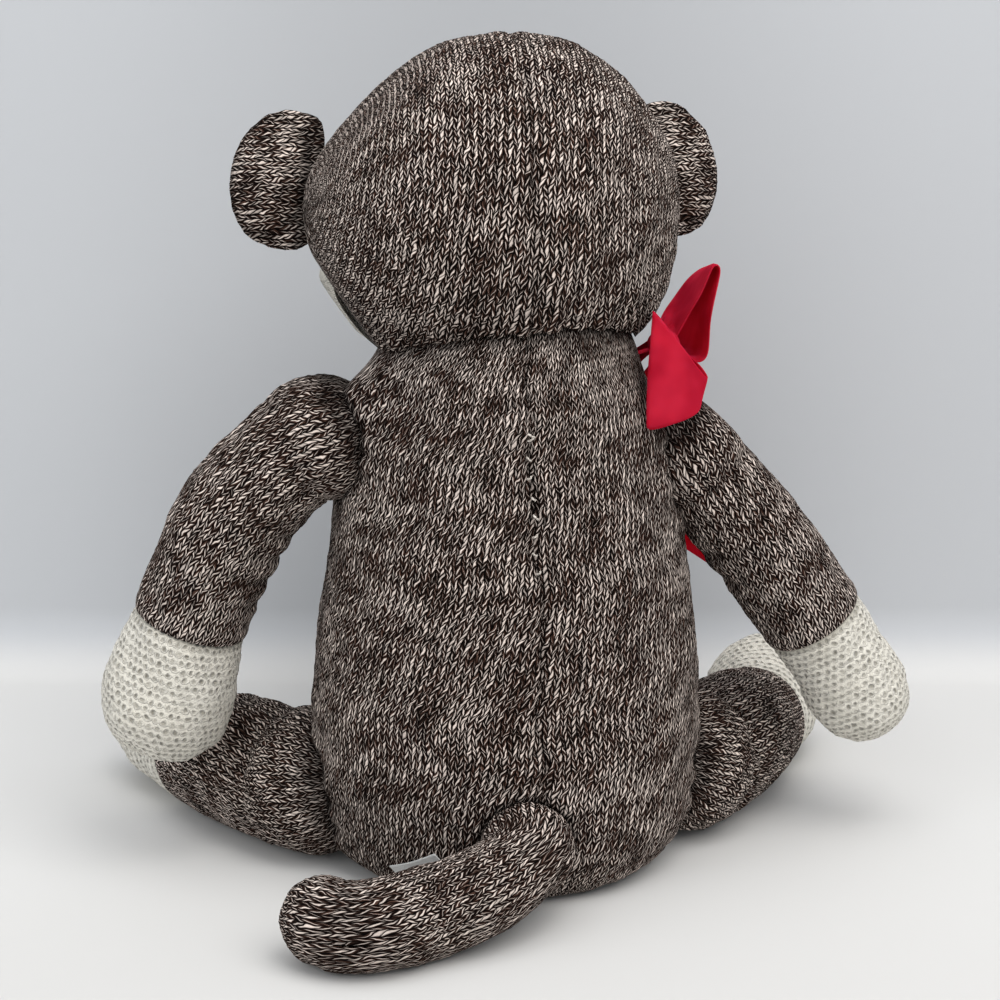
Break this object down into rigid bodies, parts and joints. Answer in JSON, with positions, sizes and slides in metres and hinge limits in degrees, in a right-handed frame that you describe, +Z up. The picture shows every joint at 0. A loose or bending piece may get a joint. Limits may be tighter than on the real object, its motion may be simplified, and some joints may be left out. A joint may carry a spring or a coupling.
{
  "type": "stuffed sock monkey doll",
  "caption": "Sitting stuffed monkey doll of marled sock knit with cream hands, feet and muzzle, a curled tail and a red ribbon bow at the neck.",
  "frame": {"origin": "the middle of the seat, on the flat face that the doll sits on", "axes": "+Z up, the doll faces -Y, and its left side is +X"},
  "size_m": [0.3234, 0.2419, 0.3231],
  "materials": {
    "marl_knit": "matte marled knit, dark brown and cream",
    "cream_knit": "matte, fuzzy knit",
    "fibre_fill": "matte loose fibre",
    "red_satin": "satin",
    "red_knit": "matte knit",
    "black_gloss": "polished",
    "dark_thread": "matte thread",
    "pale_thread": "matte thread",
    "white_tape": "smooth woven tape, blank",
    "clear_plastic": "natural moulded plastic"
  },
  "bodies": {
    "body": {"body_cover": "marl_knit", "body_stuffing": "fibre_fill", "back_seam_stitches": "pale_thread", "care_label": "white_tape", "bow_knot": "red_satin", "bow_loop_back": "red_satin", "bow_loop_front": "red_satin", "bow_tail_outer": "red_satin", "bow_tail_inner": "red_satin", "bow_tack_thread": "pale_thread"},
    "neck": {"neck_anchor_knot": "pale_thread"},
    "head": {"head_cover": "marl_knit", "head_stuffing": "fibre_fill", "muzzle_cover": "cream_knit", "muzzle_stuffing": "fibre_fill", "lips": "red_knit", "mouth_stitch": "dark_thread", "nostril_left": "dark_thread", "nostril_right": "dark_thread", "eye_left": "black_gloss", "eye_right": "black_gloss", "eye_washer_left": "clear_plastic", "eye_washer_right": "clear_plastic"},
    "ear_left": {"ear_cover_left": "marl_knit", "ear_batting_left": "fibre_fill"},
    "shoulder_left": {"shoulder_anchor_knot_left": "pale_thread"},
    "arm_left": {"arm_sleeve_left": "marl_knit", "arm_stuffing_left": "fibre_fill"},
    "hand_left": {"hand_cover_left": "cream_knit", "hand_stuffing_left": "fibre_fill"},
    "hip_left": {"hip_anchor_knot_left": "pale_thread"},
    "leg_left": {"leg_cover_left": "marl_knit", "leg_stuffing_left": "fibre_fill"},
    "foot_left": {"foot_cover_left": "cream_knit", "foot_stuffing_left": "fibre_fill"},
    "ear_right": {"ear_cover_right": "marl_knit", "ear_batting_right": "fibre_fill"},
    "shoulder_right": {"shoulder_anchor_knot_right": "pale_thread"},
    "arm_right": {"arm_sleeve_right": "marl_knit", "arm_stuffing_right": "fibre_fill"},
    "hand_right": {"hand_cover_right": "cream_knit", "hand_stuffing_right": "fibre_fill"},
    "hip_right": {"hip_anchor_knot_right": "pale_thread"},
    "leg_right": {"leg_cover_right": "marl_knit", "leg_stuffing_right": "fibre_fill"},
    "foot_right": {"foot_cover_right": "cream_knit", "foot_stuffing_right": "fibre_fill"},
    "tail_root": {"tail_anchor_knot": "pale_thread"},
    "tail": {"tail_cover": "marl_knit", "tail_stuffing": "fibre_fill"}
  },
  "joints": [
    {"name": "neck_turn", "type": "hinge", "parent": "body", "child": "neck", "pos_m": [0, 0, 0.19], "axis": [0, 0, 1], "range_deg": [-10, 20]},
    {"name": "neck_nod", "type": "hinge", "parent": "neck", "child": "head", "pos_m": [0, 0, 0.19], "axis": [1, 0, 0], "range_deg": [-5, 4]},
    {"name": "ear_fold_left", "type": "hinge", "parent": "head", "child": "ear_left", "pos_m": [0.07348, -0.03286, 0.26672], "axis": [0.0118, -0.2246, 0.9744], "range_deg": [-20, 20]},
    {"name": "shoulder_swing_left", "type": "hinge", "parent": "body", "child": "shoulder_left", "pos_m": [0.071, -0.002, 0.174], "axis": [-1, 0, 0], "range_deg": [-30, 45]},
    {"name": "shoulder_raise_left", "type": "hinge", "parent": "shoulder_left", "child": "arm_left", "pos_m": [0.071, -0.002, 0.174], "axis": [0, -1, 0], "range_deg": [-4, 60]},
    {"name": "wrist_bend_left", "type": "hinge", "parent": "arm_left", "child": "hand_left", "pos_m": [0.12236, -0.01161, 0.10145], "axis": [0, -1, 0], "range_deg": [-15, 18]},
    {"name": "hip_spread_left", "type": "hinge", "parent": "body", "child": "hip_left", "pos_m": [0.075, -0.018, 0.0297], "axis": [0, 0, 1], "range_deg": [-15, 20]},
    {"name": "hip_lift_left", "type": "hinge", "parent": "hip_left", "child": "leg_left", "pos_m": [0.075, -0.018, 0.0297], "axis": [-0.7852, -0.6192, 0], "range_deg": [0, 28]},
    {"name": "ankle_bend_left", "type": "hinge", "parent": "leg_left", "child": "foot_left", "pos_m": [0.11615, -0.07806, 0.02254], "axis": [-0.902, -0.4318, 0], "range_deg": [-15, 15]},
    {"name": "ear_fold_right", "type": "hinge", "parent": "head", "child": "ear_right", "pos_m": [-0.06413, -0.04007, 0.26672], "axis": [-0.0118, 0.2246, -0.9744], "range_deg": [-20, 20]},
    {"name": "shoulder_swing_right", "type": "hinge", "parent": "body", "child": "shoulder_right", "pos_m": [-0.069, -0.002, 0.165], "axis": [-1, 0, 0], "range_deg": [-8, 28]},
    {"name": "shoulder_raise_right", "type": "hinge", "parent": "shoulder_right", "child": "arm_right", "pos_m": [-0.069, -0.002, 0.165], "axis": [0, 1, 0], "range_deg": [0, 60]},
    {"name": "wrist_bend_right", "type": "hinge", "parent": "arm_right", "child": "hand_right", "pos_m": [-0.12443, -0.00681, 0.09179], "axis": [0, 1, 0], "range_deg": [-15, 18]},
    {"name": "hip_spread_right", "type": "hinge", "parent": "body", "child": "hip_right", "pos_m": [-0.075, -0.018, 0.0297], "axis": [0, 0, -1], "range_deg": [-15, 25]},
    {"name": "hip_lift_right", "type": "hinge", "parent": "hip_right", "child": "leg_right", "pos_m": [-0.075, -0.018, 0.0297], "axis": [-0.7429, 0.6694, 0], "range_deg": [0, 35]},
    {"name": "ankle_bend_right", "type": "hinge", "parent": "leg_right", "child": "foot_right", "pos_m": [-0.11899, -0.07583, 0.02254], "axis": [-0.8882, 0.4595, 0], "range_deg": [-15, 15]},
    {"name": "tail_wag", "type": "hinge", "parent": "body", "child": "tail_root", "pos_m": [0.002, 0.06, 0.027], "axis": [0, 0, -1], "range_deg": [-12, 10]},
    {"name": "tail_lift", "type": "hinge", "parent": "tail_root", "child": "tail", "pos_m": [0.002, 0.06, 0.027], "axis": [1, 0, 0], "range_deg": [0, 25]}
  ]
}
